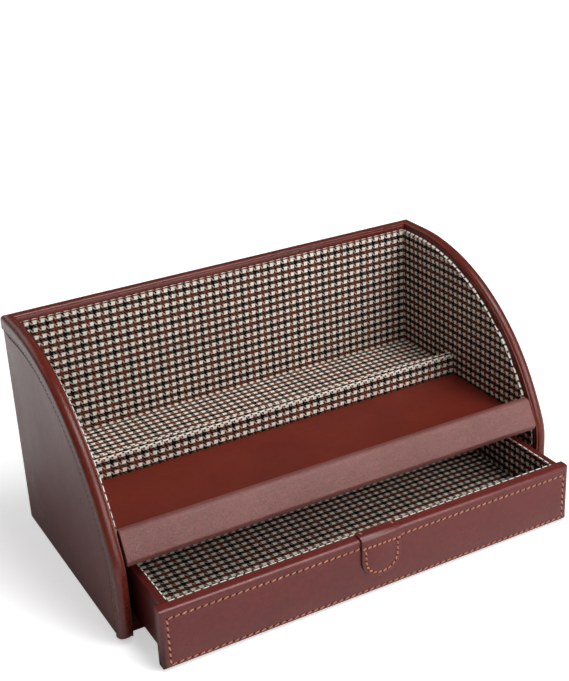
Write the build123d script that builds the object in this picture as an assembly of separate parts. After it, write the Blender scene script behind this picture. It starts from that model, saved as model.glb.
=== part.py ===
from build123d import *
from math import radians, sin
import os

# Valet box with a drawer: a leather covered board case, lined with check cloth. Millimetres.
# X runs across the box, +X to the right of someone facing it. The front faces -Y and +Z is up.
# The origin is the centre of the case's footprint, on the surface that it stands on.
# A depth is measured forward from the back of the case, and a height up from the table.

# Case, overall
case_width = 224.0
case_depth = 119.5
case_height = 109.5

# Sheet goods
leather = 0.8            # leather over the case's boards
lining = 0.8             # check cloth on its backing paper
felt_thickness = 0.8     # felt under the base
side_board_thickness = 4.4
back_board_thickness = 4.4
base_board_thickness = 4.5
deck_board_thickness = 2.6

# Outline of a side, from the foot up the front edge and over to the level top
toe_radius = 5.0
brow_radius = 29.5       # first bend, above the drawer
brow_turn = 24.0         # degrees
slope_radius = 144.0     # long flat bend beside the shelf
slope_turn = 9.0         # degrees
crown_radius = 105.7     # last bend

# Leather bands folded over the raised edges
band_outside = 7.5       # width of the fold on the outer face
band_inside = 3.5        # width of the fold on the inner face
band_round = 2.2         # rounding of the folded edge

# Deck, shelf and tray
deck_clearance = 6.4     # over the closed drawer
tray_pad_thickness = 3.8
tray_length = 42.0       # front to back
divider_rise = 11.6      # above the shelf
divider_board_thickness = 2.0

# Front rail, a slanted moulding in front of the shelf
rail_rise = 11.0         # above the shelf
rail_setback = 6.1       # of its top edge behind its foot
rail_top_thickness = 4.2
rail_round = 1.2

# Drawer
drawer_open = 25.5       # how far the drawer stands open at rest
drawer_clearance = 0.4   # under the drawer
drawer_rear_gap = 1.5    # behind the closed drawer
front_gap = 1.6          # between each end of the drawer front and the lining
front_height = 28.8
front_foot = 1.0         # bottom of the drawer front above the table
front_board_thickness = 4.6
front_round = 1.9
body_gap = 4.2           # between the drawer's body and the lining
body_skin = 0.6          # leather and lining of the drawer's body
body_board_thickness = 2.8
bottom_board_thickness = 2.5
floor_pad_thickness = 1.6

# Pull tab
tab_width = 20.0
tab_drop = 20.3          # below the top of the drawer front
tab_thickness = 1.2
tab_corner_radius = 9.5

# Small roundings and margins
base_gap = 0.6           # between the closed drawer front and the base's front edge
fold_round = 0.45        # thin sheet folded over an edge
felt_margin = 1.0        # from the case's outline to the felt

# Case: places that follow from the sizes above
half_width = case_width / 2
back_y = case_depth / 2
board_outer = half_width - leather
board_inner = board_outer - side_board_thickness
inside = board_inner - lining
foot = felt_thickness
toe_top = foot + toe_radius
base_top = foot + base_board_thickness
back_inner = leather + back_board_thickness
tray_back = back_inner + lining
deck_bottom = front_foot + front_height + deck_clearance
deck_top = deck_bottom + deck_board_thickness
shelf_height = deck_top + leather
divider_back = tray_back + tray_length
divider_board_back = divider_back + lining
divider_board_front = divider_board_back + divider_board_thickness
divider_front = divider_board_front + lining
divider_top = shelf_height + divider_rise
rail_top = shelf_height + rail_rise
rail_crest = case_depth - rail_setback
rail_back = rail_crest - rail_top_thickness
front_wall = leather + front_board_thickness
base_front = case_depth - front_wall - body_skin - base_gap

# Height at which the front edge of a side starts to bend
brow_sine = sin(radians(brow_turn))
slope_sine = sin(radians(brow_turn + slope_turn))
brow_rise = brow_radius * brow_sine
slope_rise = slope_radius * (slope_sine - brow_sine)
crown_rise = crown_radius * (1 - slope_sine)
brow_start = case_height - brow_rise - slope_rise - crown_rise

# Drawer at rest: depths, heights and half widths
panel_front = case_depth + drawer_open
panel_inner = panel_front - front_wall
panel_back = panel_inner - body_skin
panel_top = front_foot + front_height
rear_outer = tray_back + drawer_rear_gap + drawer_open
rear_board_back = rear_outer + body_skin
rear_board_front = rear_board_back + body_board_thickness
rear_inner = rear_board_front + body_skin
body_foot = base_top + drawer_clearance
body_floor = body_foot + bottom_board_thickness
wall_top = panel_top - body_skin
panel_half = inside - front_gap
body_half = inside - body_gap
wall_outer = body_half - body_skin
wall_inner = wall_outer - body_board_thickness
body_inside = wall_inner - body_skin


def block(x0, x1, depth0, depth1, height0, height1):
    """Box between two places on each axis."""
    middle = ((x0 + x1) / 2, back_y - (depth0 + depth1) / 2, (height0 + height1) / 2)
    return Pos(*middle) * Box(x1 - x0, depth1 - depth0, height1 - height0)


def crosswise(face, x0, x1):
    """Extrude a face, drawn as depth and height, across the case from x0 to x1."""
    plane = Plane(origin=(x1, back_y, 0), x_dir=(0, -1, 0), z_dir=(-1, 0, 0))
    return extrude(plane * face, amount=x1 - x0)


def edges_along(part, direction, depth=None, height=None, x=None):
    """Straight edges of the part along one axis, at the places that are given."""
    found = []
    for edge in part.edges().filter_by(direction):
        middle = edge.center()
        offsets = [
            0 if depth is None else middle.Y - back_y + depth,
            0 if height is None else middle.Z - height,
            0 if x is None else abs(middle.X) - x,
        ]
        if max(abs(offset) for offset in offsets) < 0.01:
            found.append(edge)
    return found


# ---- Sides ----

def side_face(inset, foot_height, rear=0.0):
    """Outline of a side as depth and height, its front and top edge drawn in by inset."""
    with BuildSketch() as sketch:
        with BuildLine():
            back = Line((rear, case_height - inset), (rear, foot_height))
            bottom = Line(back @ 1, (case_depth - inset, foot_height))
            front = Line(bottom @ 1, (case_depth - inset, brow_start))
            brow = JernArc(front @ 1, (0, 1), brow_radius - inset, brow_turn)
            slope = JernArc(brow @ 1, brow % 1, slope_radius - inset, slope_turn)
            last_turn = 90 - brow_turn - slope_turn
            crown = JernArc(slope @ 1, slope % 1, crown_radius - inset, last_turn)
            Line(crown @ 1, back @ 0)
        make_face()
    return sketch.sketch


def rim_edges(part, top, rear):
    """Long edges of a side round its front and top, with the top edge at its back."""
    rims = [
        edge for edge in part.edges()
        if abs(edge.tangent_at(0.5).X) < 0.5
        and edge.center().Z > toe_top + 0.1
        and edge.center().Y < back_y - rear - 0.1
    ]
    return rims + edges_along(part, Axis.X, depth=rear, height=top)


def toe(inset, x0, x1, rounding):
    """Lower front corner of a side: the section of its front edge, turned down under it."""
    centre = (0, back_y - case_depth + toe_radius, toe_top)
    plane = Plane(origin=centre, x_dir=(1, 0, 0), z_dir=(0, 0, -1))
    reach = toe_radius - inset
    section = Pos((x0 + x1) / 2, reach / 2) * Rectangle(x1 - x0, reach)
    section = fillet(section.vertices().group_by(Axis.Y)[-1], rounding)
    return revolve(plane * section, axis=Axis(centre, (1, 0, 0)), revolution_arc=90)


def rounded_side(inset, x0, x1, rounding, rear=0.0):
    """Side slab with its front and top edges rounded."""
    upper = crosswise(side_face(inset, toe_top, rear), x0, x1)
    upper = fillet(rim_edges(upper, case_height - inset, rear), rounding)
    lower = block(x0, x1, rear, case_depth - toe_radius, foot, toe_top)
    return upper + lower + toe(inset, x0, x1, rounding)


def make_side():
    """Right side: board, outer leather, the band folded over its edge, and inner lining."""
    board = rounded_side(leather, board_inner, board_outer, band_round - leather, leather)
    whole = rounded_side(0, inside, half_width, band_round)
    cover = crosswise(side_face(band_outside, foot), board_outer, half_width)
    cover = fillet(edges_along(cover, Axis.Z, depth=0, x=half_width), fold_round)
    sheet = crosswise(side_face(band_inside, foot, leather), inside, board_inner) & whole
    rear_skin = block(0, board_outer, 0, leather, foot, case_height - band_outside)
    rear_strip = block(board_outer, half_width, 0, leather, foot, case_height - band_outside)
    band = whole - board - cover - sheet - rear_skin - rear_strip
    return {
        "side_board": board,
        "side_cover": cover,
        "side_edge_band": band,
        "side_lining": sheet,
    }


# ---- Back, base and deck ----

def rounded_bar(depth0, depth1, height0, top, rounding):
    """Bar between the sides with its two upper long edges rounded."""
    bar = block(-inside, inside, depth0, depth1, height0, top)
    return fillet(edges_along(bar, Axis.X, height=top), rounding)


def make_back():
    """Back: board, outer leather, the band folded over its top, and inner lining."""
    board = rounded_bar(leather, back_inner, foot, case_height - leather, band_round - leather)
    cover_top = case_height - band_outside
    cover = block(-board_outer, board_outer, 0, leather, foot, cover_top)
    sheet = block(-inside, inside, back_inner, tray_back, foot, case_height - band_inside)
    whole = rounded_bar(0, tray_back, cover_top, case_height, band_round)
    return {
        "back_board": board,
        "back_cover": cover,
        "back_edge_band": whole - board - sheet,
        "back_lining": sheet,
    }


def make_base():
    """Base: board, the leather strip on its front edge, and the felt under it."""
    board = block(-inside, inside, tray_back, base_front - leather, foot, base_top)
    strip = block(-inside, inside, base_front - leather, base_front, foot, base_top)
    strip = fillet(edges_along(strip, Axis.X, depth=base_front), fold_round)
    felt_half = half_width - felt_margin
    felt = block(-felt_half, felt_half, felt_margin, base_front - felt_margin, 0, foot)
    return {"base_board": board, "base_front_strip": strip, "base_felt": felt}


def make_deck():
    """Deck over the drawer, with the shelf's leather and the padded floor of the tray."""
    board = block(-inside, inside, tray_back, rail_back, deck_bottom, deck_top)
    shelf = block(-inside, inside, divider_front, rail_back, deck_top, shelf_height)
    pad_top = deck_top + tray_pad_thickness
    pad = block(-inside, inside, tray_back, divider_back, deck_top, pad_top)
    return {"deck_board": board, "shelf_leather": shelf, "tray_floor_pad": pad}


def make_divider():
    """Divider between shelf and tray: board, cloth folded over it, and cloth on its front."""
    fold_bottom = divider_top - lining
    board = block(-inside, inside, divider_board_back, divider_board_front, deck_top, fold_bottom)
    whole = block(-inside, inside, divider_back, divider_board_front, deck_top, divider_top)
    whole = fillet(edges_along(whole, Axis.X, depth=divider_back, height=divider_top), fold_round)
    sheet = block(-inside, inside, divider_board_front, divider_front, deck_top, divider_top)
    return {
        "divider_board": board,
        "divider_cover": whole - board,
        "divider_front_lining": sheet,
    }


def rail_bar(inset):
    """Slanted front moulding, its section drawn in by inset."""
    outline = Polygon(
        (rail_back, deck_bottom),
        (case_depth, deck_bottom),
        (rail_crest, rail_top),
        (rail_back, rail_top),
        align=None,
    )
    section = offset(outline, amount=-inset, kind=Kind.INTERSECTION) if inset else outline
    return crosswise(section, -inside, inside)


def make_rail():
    """Front rail: moulding and the leather wrapped round it."""
    core = rail_bar(leather)
    wrapped = rail_bar(0)
    lip = edges_along(wrapped, Axis.X, depth=case_depth)
    top = edges_along(wrapped, Axis.X, height=rail_top)
    wrapped = fillet(lip + top, rail_round)
    return {"front_rail_board": core, "front_rail_cover": wrapped - core}


# ---- Drawer ----

def panel_envelope():
    """Outside of the leather covered drawer front."""
    slab = block(-panel_half, panel_half, panel_back, panel_front, front_foot, panel_top)
    face = slab.edges().group_by(Axis.Y)[0]
    slab = fillet(face, front_round)
    back_rim = slab.edges().group_by(Axis.Y)[-1]
    return fillet(back_rim, fold_round)


def make_front():
    """Drawer front: board, wrapped leather, cloth on the inside, and the pull tab."""
    half = panel_half - leather
    low, high = front_foot + leather, panel_top - leather
    board = block(-half, half, panel_inner, panel_front - leather, low, high)
    board = fillet(board.edges().group_by(Axis.Y)[0], front_round - leather)
    mouth = block(-body_half, body_half, panel_back, panel_inner, body_foot, panel_top)
    sheet = block(-wall_inner, wall_inner, panel_back, panel_inner, body_floor, panel_top)
    return {
        "drawer_front_board": board,
        "drawer_front_cover": panel_envelope() - board - mouth,
        "drawer_front_lining": sheet,
        "pull_tab": make_tab(),
    }


def make_tab():
    """Leather tab, folded over the top of the drawer front and rounded at its end."""
    half = tab_width / 2
    outer, low, high = panel_front + tab_thickness, panel_top - tab_drop, panel_top + tab_thickness
    strap = block(-half, half, panel_inner, outer, low, high)
    end_corners = edges_along(strap, Axis.Y, height=low)
    strap = fillet(end_corners, tab_corner_radius)
    bend = edges_along(strap, Axis.X, depth=outer, height=high)
    strap = fillet(bend, front_round + tab_thickness)
    return strap - panel_envelope()


def make_drawer_side():
    """Right wall of the drawer: board, leather folded over its top, and lining."""
    board = block(wall_inner, wall_outer, rear_board_back, panel_inner, body_foot, wall_top)
    whole = block(wall_inner, body_half, rear_board_back, panel_inner, body_foot, panel_top)
    whole = fillet(edges_along(whole, Axis.Y, height=panel_top, x=body_half), fold_round)
    sheet = block(body_inside, wall_inner, rear_board_front, panel_back, body_floor, panel_top)
    return {
        "drawer_side_board": board,
        "drawer_side_cover": whole - board,
        "drawer_side_lining": sheet,
    }


def make_drawer_back():
    """Rear wall of the drawer: board, leather folded over its top, and lining."""
    low, high = body_foot, panel_top
    board = block(-wall_inner, wall_inner, rear_board_back, rear_board_front, low, wall_top)
    skin = block(-body_half, body_half, rear_outer, rear_board_back, low, high)
    fold = block(-wall_inner, wall_inner, rear_board_back, rear_board_front, wall_top, high)
    cover = skin + fold
    cover = fillet(edges_along(cover, Axis.X, depth=rear_outer, height=high), fold_round)
    sheet = block(-body_inside, body_inside, rear_board_front, rear_inner, body_floor, high)
    return {
        "drawer_back_board": board,
        "drawer_back_cover": cover,
        "drawer_back_lining": sheet,
    }


def make_drawer_floor():
    """Bottom board of the drawer and the padded cloth on it."""
    board = block(-wall_inner, wall_inner, rear_board_front, panel_inner, body_foot, body_floor)
    pad_top = body_floor + floor_pad_thickness
    pad = block(-body_inside, body_inside, rear_inner, panel_back, body_floor, pad_top)
    return {"drawer_bottom_board": board, "drawer_floor_pad": pad}


def both_sides(pieces):
    """Each right-hand piece and its mirror image on the left."""
    pairs = {}
    for name, piece in pieces.items():
        pairs[name + "_right"] = piece
        pairs[name + "_left"] = mirror(piece, about=Plane.YZ)
    return pairs


nodes = {
    **both_sides(make_side()),
    **make_back(),
    **make_base(),
    **make_deck(),
    **make_divider(),
    **make_rail(),
    **make_front(),
    **both_sides(make_drawer_side()),
    **make_drawer_back(),
    **make_drawer_floor(),
}

os.makedirs("parts", exist_ok=True)
for node, shape in nodes.items():
    export_step(shape, f"parts/{node}.step")
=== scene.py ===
import bmesh
import bpy
from math import atan2, cos, pi, radians, sin
from mathutils import Matrix, Vector, noise


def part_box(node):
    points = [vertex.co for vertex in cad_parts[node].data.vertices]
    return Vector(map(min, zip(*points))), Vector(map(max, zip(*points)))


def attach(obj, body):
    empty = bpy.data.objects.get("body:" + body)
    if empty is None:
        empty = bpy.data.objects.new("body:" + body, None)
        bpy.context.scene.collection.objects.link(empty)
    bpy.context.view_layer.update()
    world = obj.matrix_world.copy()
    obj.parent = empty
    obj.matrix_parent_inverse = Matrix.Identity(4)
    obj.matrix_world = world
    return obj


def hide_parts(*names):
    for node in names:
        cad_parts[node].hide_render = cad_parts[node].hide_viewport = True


# Leather valet box with a drawer, lined with check cloth. Metres, in the frame of the CAD model.
# X runs across the box, the front faces -Y and +Z is up.

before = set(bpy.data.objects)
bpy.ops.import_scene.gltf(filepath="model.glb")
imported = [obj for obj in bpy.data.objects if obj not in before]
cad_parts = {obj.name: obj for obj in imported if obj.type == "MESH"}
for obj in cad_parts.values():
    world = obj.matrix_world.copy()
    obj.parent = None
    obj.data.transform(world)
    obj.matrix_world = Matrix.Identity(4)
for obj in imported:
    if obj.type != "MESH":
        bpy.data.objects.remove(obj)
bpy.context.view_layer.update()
MM = 0.001
NEAR = 0.01 * MM               # a point this close to a plane lies on it
CUT_SLACK = 0.001 * MM         # tolerance of a cut
MERGE_REACH = 0.002 * MM       # points closer than this are merged

# Places read from the CAD nodes
CASE_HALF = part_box("side_cover_right")[1].x
BOARD_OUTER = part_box("side_board_right")[1].x
BOARD_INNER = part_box("side_board_right")[0].x
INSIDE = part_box("side_lining_right")[0].x
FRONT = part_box("side_edge_band_right")[0].y
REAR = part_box("side_edge_band_right")[1].y
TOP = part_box("side_edge_band_right")[1].z
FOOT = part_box("side_board_right")[0].z
TRAY_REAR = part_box("back_lining")[0].y
RAIL_LOW, RAIL_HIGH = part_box("front_rail_cover")
DRAWER_LOW, DRAWER_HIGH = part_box("drawer_front_cover")
TAB_LOW, TAB_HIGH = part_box("pull_tab")

# Outline of a side, from its foot to its top: three bends, a quarter turn together
TOE_RADIUS = 5 * MM
BROW_RADIUS, BROW_TURN = 29.5 * MM, radians(24)
SLOPE_RADIUS, SLOPE_TURN = 144 * MM, radians(9)
CROWN_RADIUS, CROWN_TURN = 105.7 * MM, radians(57)

# Leather bands folded over the edges of the sides and the back
BAND_OUTSIDE = 7.5 * MM        # width on the outer face
BAND_INSIDE = 3.5 * MM         # width on the inner face
BAND_DEPTH = 0.8 * MM          # how far its section reaches into the wall
PADDING = 0.45 * MM            # how far its padded roll stands out
SHOULDER = 4.2 * MM            # from the edge down to the fullest part of the roll
BAND_GAP = 0.1 * MM            # between a band and the board or panel next to it

# Linings
RAW_STRIP = 0.45 * MM          # pale strip of cut thread ends along a lining's edge
RAW_LIP = 0.5 * MM             # how far the cut edge of a side lining stands up
CARD_ROUND = 0.22 * MM         # rounding of cloth folded round a card
PAD_DENT = 0.18 * MM           # height of the small dents in a padded floor
DENTS_PER_METRE = 55
PAD_CUTS = (60, 12)            # cuts of a padded floor's face along x and along y

# Drawer front: rows of stitches, and the leather pressed in under them
SEAM_LEFT, SEAM_RIGHT = DRAWER_LOW.x + 3.1 * MM, DRAWER_HIGH.x - 3.1 * MM
SEAM_FOOT, SEAM_HEAD = DRAWER_LOW.z + 2.1 * MM, DRAWER_HIGH.z - 4.1 * MM
SEAM_DEPTH = 0.22 * MM
SEAM_HALF_WIDTH = 0.75 * MM

# Pull tab
TAB_RADIUS = 9.5 * MM          # of its lower corners
TAB_BEND = 2.0 * MM            # of the fold over the drawer front
TAB_SEAM = 1.9 * MM            # from its edge to its row of stitches
TAB_SEAM_RADIUS = 7.6 * MM

# Sewing
STITCH_PITCH = 3.15 * MM       # round the drawer front
TAB_PITCH = 2.6 * MM
BAND_PITCH = 2.5 * MM
STITCH_SHARE = 0.79            # share of the pitch that a stitch covers
THREAD_WIDTH = 0.88 * MM
THREAD_RISE = 0.6 * MM
STITCH_SLANT = radians(17)
HOLE_SIZE = (0.55 * MM, 0.14 * MM, 0.42 * MM)   # half sizes of the dark bead of painted shade in a needle hole
HOLE_SINK = 0.02 * MM
BAND_SEAM = 1.15 * MM          # from a side band's seam to its row of stitches
BAND_THREAD_X = CASE_HALF + 0.34 * MM

# Check cloth: eight threads make a dark stripe and a pale one
CHECK_PERIOD = 3.9 * MM
STRIPE_THREADS = 4
THREADS_PER_METRE = 2 * STRIPE_THREADS / CHECK_PERIOD
TWILL = 4                      # threads in a repeat of the weave
WEFT_NAP = 0.9                 # how far the nap of a dark weft hides the cream warp in it
WARP_NAP = 0.6                 # and a dark warp's nap the cream weft

# Tints that darken a colour
NAP_TINT = (0.08, 0.05, 0.04, 1.0)
PORE_TINT = (0.45, 0.4, 0.4, 1.0)
PAINTED_SHADE_TINT = (0.2, 0.14, 0.16, 1.0)   # painted shade of the leather in the seam grooves and under the drawer front's lower edge


# ---- Shader node helpers ----

def plug(tree, node, sockets):
    """Link a node's inputs, or write plain values into them, by name or by number."""
    for key, value in sockets.items():
        if isinstance(value, bpy.types.NodeSocket):
            tree.links.new(value, node.inputs[key])
        else:
            node.inputs[key].default_value = value


def add_node(tree, kind, sockets, **settings):
    """Shader node of a kind, with its settings and its inputs."""
    node = tree.nodes.new("ShaderNode" + kind)
    for name, value in settings.items():
        setattr(node, name, value)
    plug(tree, node, sockets)
    return node


def calc(tree, operation, *values):
    """One step of arithmetic."""
    return add_node(tree, "Math", dict(enumerate(values)), operation=operation).outputs[0]


def times(tree, first, second):
    """Product of two numbers."""
    return calc(tree, "MULTIPLY", first, second)


def mix(tree, factor, first, second, how="MIX"):
    """Mix two colours."""
    sockets = {0: factor, 6: first, 7: second}
    return add_node(tree, "Mix", sockets, data_type="RGBA", blend_type=how).outputs[2]


def shaded(tree, color, shade):
    """Colour multiplied by another colour or by a number."""
    return mix(tree, 1.0, color, shade, "MULTIPLY")


def ramp(tree, value, low, high, to_low=0.0, to_high=1.0):
    """Map a range of a value onto another, clamped."""
    return add_node(tree, "MapRange", dict(enumerate((value, low, high, to_low, to_high)))).outputs[0]


def clouds(tree, place, scale, detail=2.0, roughness=0.5, distortion=0.0):
    """Soft noise."""
    sockets = {
        "Vector": place, "Scale": scale, "Detail": detail, "Roughness": roughness, "Distortion": distortion
    }
    return add_node(tree, "TexNoise", sockets).outputs["Fac"]


def cells(tree, place, scale):
    """Cell pattern: distance from the cell walls."""
    sockets = {"Vector": place, "Scale": scale}
    return add_node(tree, "TexVoronoi", sockets, feature="DISTANCE_TO_EDGE").outputs["Distance"]


def stretched(tree, place, factors):
    """Scale a place by three factors."""
    return add_node(tree, "Mapping", {"Vector": place, "Scale": factors}).outputs["Vector"]


def split(tree, place):
    """X, Y and Z of a place."""
    return add_node(tree, "SeparateXYZ", {0: place}).outputs


def tinted(rgb):
    """Colour from 0..255 screen values, as linear light."""
    linear = [((c / 255 + 0.055) / 1.055) ** 2.4 if c > 10 else c / 255 / 12.92 for c in rgb]
    return (*linear, 1.0)


def new_group(name, inputs, outputs):
    """Node group with named inputs and outputs. Results are plugged into its output node."""
    tree = bpy.data.node_groups.new(name, "ShaderNodeTree")
    for label, kind, default in inputs:
        socket = tree.interface.new_socket(label, in_out="INPUT", socket_type="NodeSocket" + kind)
        if default is not None:
            socket.default_value = default
    for label, kind in outputs:
        tree.interface.new_socket(label, in_out="OUTPUT", socket_type="NodeSocket" + kind)
    return tree, tree.nodes.new("NodeGroupInput").outputs, tree.nodes.new("NodeGroupOutput")


def place_group(tree, group, **values):
    """Put a node group in a material, with its own values."""
    return add_node(tree, "Group", values, node_tree=group).outputs


# ---- Shared surface effects ----

WANDER = (0.6 * MM, 0.6 * MM, 0.6 * MM)


def wandering(tree, place, scale):
    """Place shifted a little by noise, so that cells lose their straight walls."""
    wander = add_node(tree, "TexNoise", {"Vector": place, "Scale": scale}).outputs["Color"]
    sockets = {0: wander, 1: WANDER, 2: place}
    return add_node(tree, "VectorMath", sockets, operation="MULTIPLY_ADD").outputs[0]


def leather_grain_group():
    """Fine pebbled grain with pores and faint creases. Grain is the size of a pebble in metres."""
    tree, given, result = new_group(
        "leather_grain",
        [("Position", "Vector", None), ("Grain", "Float", 0.5 * MM), ("Creases", "Float", 0.3)],
        [("Height", "Float"), ("Pores", "Float"), ("Speckle", "Float")],
    )
    place = given["Position"]
    scale = calc(tree, "DIVIDE", 1.0, given["Grain"])
    pebbles = ramp(tree, cells(tree, wandering(tree, place, times(tree, scale, 0.35)), scale), 0.0, 0.28)
    fine = clouds(tree, place, times(tree, scale, 2.6), 3.0, 0.6)
    crease_noise = clouds(tree, stretched(tree, place, (1.0, 2.6, 1.6)), 240.0, 4.0, 0.55, 0.6)
    crease = ramp(tree, calc(tree, "ABSOLUTE", calc(tree, "SUBTRACT", crease_noise, 0.5)), 0.0, 0.03)
    creased = times(tree, calc(tree, "SUBTRACT", crease, 1.0), given["Creases"])
    grain = calc(tree, "MULTIPLY_ADD", pebbles, 0.55, times(tree, fine, 0.45))
    pores = clouds(tree, place, times(tree, scale, 1.3), 1.0, 0.4)
    specks = clouds(tree, place, times(tree, scale, 0.7), 4.0, 0.75)
    plug(tree, result, {
        "Height": calc(tree, "ADD", grain, creased),
        "Pores": ramp(tree, pores, 0.60, 0.72),
        "Speckle": ramp(tree, specks, 0.3, 0.7),
    })
    return tree


def mottle_group():
    """Uneven dyeing: broad soft patches with finer ones in them."""
    tree, given, result = new_group(
        "uneven_dye", [("Position", "Vector", None), ("Broad", "Float", 28.0)], [("Tone", "Float")]
    )
    broad = clouds(tree, given["Position"], given["Broad"], 3.0, 0.55, 0.4)
    fine = clouds(tree, given["Position"], times(tree, given["Broad"], 9.0), 3.0, 0.6)
    both = calc(tree, "MULTIPLY_ADD", broad, 0.7, times(tree, fine, 0.3))
    plug(tree, result, {"Tone": ramp(tree, both, 0.34, 0.66)})
    return tree


def edge_wear_group():
    """Rubbed edges: where the piece's wear attribute is high, broken up by noise."""
    tree, given, result = new_group(
        "edge_rub", [("Position", "Vector", None), ("Edge", "Float", 0.0), ("Amount", "Float", 0.5)],
        [("Mask", "Float")],
    )
    patches = clouds(tree, given["Position"], 420.0, 4.0, 0.65)
    broken = times(tree, given["Edge"], ramp(tree, patches, 0.35, 0.7, 0.25, 1.0))
    plug(tree, result, {"Mask": times(tree, broken, given["Amount"])})
    return tree


def by_turns(tree, thread, width):
    """0 and 1 by turns for runs of width threads, from a thread's number."""
    return calc(tree, "FLOORED_MODULO", calc(tree, "FLOOR", calc(tree, "DIVIDE", thread, width)), 2.0)


def thread_color(tree, thread, given, seed):
    """Colour of a thread by its number: four black, four cream, four rust, four cream, each of a
    slightly different shade."""
    dark = mix(tree, by_turns(tree, thread, 2 * STRIPE_THREADS), given["Black"], given["Rust"])
    color = mix(tree, by_turns(tree, thread, STRIPE_THREADS), dark, given["Cream"])
    seeded = {"W": calc(tree, "ADD", thread, seed)}
    shade = add_node(tree, "TexWhiteNoise", seeded, noise_dimensions="1D").outputs["Value"]
    return shaded(tree, color, ramp(tree, shade, 0.0, 1.0, 0.86, 1.12))


def thread_rise(tree, thread, along, across, way):
    """Height of a thread: rounded across it, and arched along it where it floats over the others.
    Way is 1 for the warp and -1 for the weft."""
    centred = calc(tree, "MULTIPLY_ADD", calc(tree, "FRACT", across), 2.0, -1.0)
    rounded = calc(tree, "SUBTRACT", 1.0, times(tree, centred, centred))
    float_place = calc(tree, "FLOORED_MODULO", calc(tree, "ADD", thread, along), TWILL)
    arch = calc(tree, "SINE", times(tree, float_place, 2 * pi / TWILL))
    return calc(tree, "MULTIPLY_ADD", arch, 0.45 * way, times(tree, rounded, 0.55))


def nap_cover(tree, warp, weft):
    """How far the nap of a dark stripe hides the cream threads that cross it."""
    warp_pale, weft_pale = (by_turns(tree, thread, STRIPE_THREADS) for thread in (warp, weft))
    dark_weft = times(tree, warp_pale, calc(tree, "SUBTRACT", 1.0, weft_pale))
    dark_warp = times(tree, weft_pale, calc(tree, "SUBTRACT", 1.0, warp_pale))
    return calc(tree, "MULTIPLY_ADD", dark_weft, WEFT_NAP, times(tree, dark_warp, WARP_NAP))


def check_weave_group():
    """Two and two twill of a small check. Cloth is the place on the cloth in metres."""
    tree, given, result = new_group(
        "check_weave",
        [("Cloth", "Vector", None)] + [(yarn, "Color", None) for yarn in ("Cream", "Black", "Rust")],
        [("Color", "Color"), ("Height", "Float")],
    )
    place = split(tree, given["Cloth"])
    hair = clouds(tree, given["Cloth"], 3800.0, 2.0, 0.7)
    fray = calc(tree, "MULTIPLY_ADD", hair, 0.5, -0.25)
    across = calc(tree, "MULTIPLY_ADD", place["X"], THREADS_PER_METRE, fray)
    along = calc(tree, "MULTIPLY_ADD", place["Y"], THREADS_PER_METRE, fray)
    warp, weft = calc(tree, "FLOOR", across), calc(tree, "FLOOR", along)
    step = calc(tree, "FLOORED_MODULO", calc(tree, "ADD", warp, weft), TWILL)
    warp_on_top = calc(tree, "LESS_THAN", step, 1.5)
    warp_color, weft_color = thread_color(tree, warp, given, 0.5), thread_color(tree, weft, given, 70.5)
    color = mix(tree, warp_on_top, weft_color, warp_color)
    color = mix(tree, nap_cover(tree, warp, weft), color, shaded(tree, color, NAP_TINT))
    weft_rise = thread_rise(tree, weft, across, along, -1)
    warp_rise = thread_rise(tree, warp, along, across, 1)
    height = add_node(tree, "Mix", {0: warp_on_top, 2: weft_rise, 3: warp_rise}).outputs[0]
    # painted shade and highlight: each thread darker where it dips under the others and lighter on its crest
    plug(tree, result, {
        "Color": shaded(tree, color, ramp(tree, height, 0.0, 0.7, 0.78, 1.08)),
        "Height": calc(tree, "MULTIPLY_ADD", hair, 0.3, height),
    })
    return tree


GRAIN = leather_grain_group()
DYE = mottle_group()
RUB = edge_wear_group()
WEAVE = check_weave_group()


# ---- Materials ----

def new_material(name):
    """Material with its node tree, its principled shader and the object coordinates."""
    material = bpy.data.materials.new(name)
    material.use_nodes = True
    tree = material.node_tree
    place = add_node(tree, "TexCoord", {}).outputs["Object"]
    return material, tree, tree.nodes["Principled BSDF"], place


def surface(tree, shader, color, roughness, height, depth, gloss=0.5):
    """Plug in colour, roughness and relief. The relief is depth metres deep at a height of 1."""
    relief = add_node(tree, "Bump", {"Strength": 1.0, "Distance": depth, "Height": height})
    plug(tree, shader, {
        "Base Color": color, "Roughness": roughness, "Specular IOR Level": gloss,
        "Normal": relief.outputs["Normal"],
    })


def read_attribute(tree, name):
    """Number kept on the piece's points."""
    return add_node(tree, "Attribute", {}, attribute_name=name).outputs["Fac"]


def uv_place(tree):
    """Place on the piece's own cloth map."""
    return add_node(tree, "UVMap", {}, uv_map="cloth").outputs["UV"]


def leather(name, deep, light, roughness, grain=0.5 * MM, depth=0.035 * MM, speckle=0.1, shine=0.4):
    """Smooth semi-gloss leather, dyed between a deep and a lighter tone."""
    material, tree, shader, place = new_material(name)
    grained = place_group(tree, GRAIN, Position=place, Grain=grain, Creases=0.25)
    tone = place_group(tree, DYE, Position=place)["Tone"]
    rubbed = place_group(tree, RUB, Position=place, Edge=read_attribute(tree, "wear"), Amount=0.55)["Mask"]
    painted_shade = read_attribute(tree, "painted_shade")
    color = mix(tree, tone, tinted(deep), tinted(light))
    color = shaded(tree, color, ramp(tree, grained["Speckle"], 0.0, 1.0, 1.0 - speckle, 1.0 + speckle))
    color = mix(tree, times(tree, grained["Pores"], 0.35), color, shaded(tree, color, PORE_TINT))
    color = mix(tree, rubbed, color, tinted([c * 1.25 + 14 for c in light]))
    # painted shade: darken the leather in seam grooves and under the drawer front's lower edge
    color = mix(tree, painted_shade, color, shaded(tree, color, PAINTED_SHADE_TINT))
    uneven = ramp(tree, tone, 0.0, 1.0, roughness + 0.05, roughness - 0.04)
    polished = calc(tree, "MULTIPLY_ADD", rubbed, -0.06, uneven)
    # and roughen it there, so that the painted shade loses its sheen
    dulled = calc(tree, "MULTIPLY_ADD", painted_shade, 0.5, polished)
    surface(tree, shader, color, dulled, grained["Height"], depth, shine)
    return material


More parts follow.
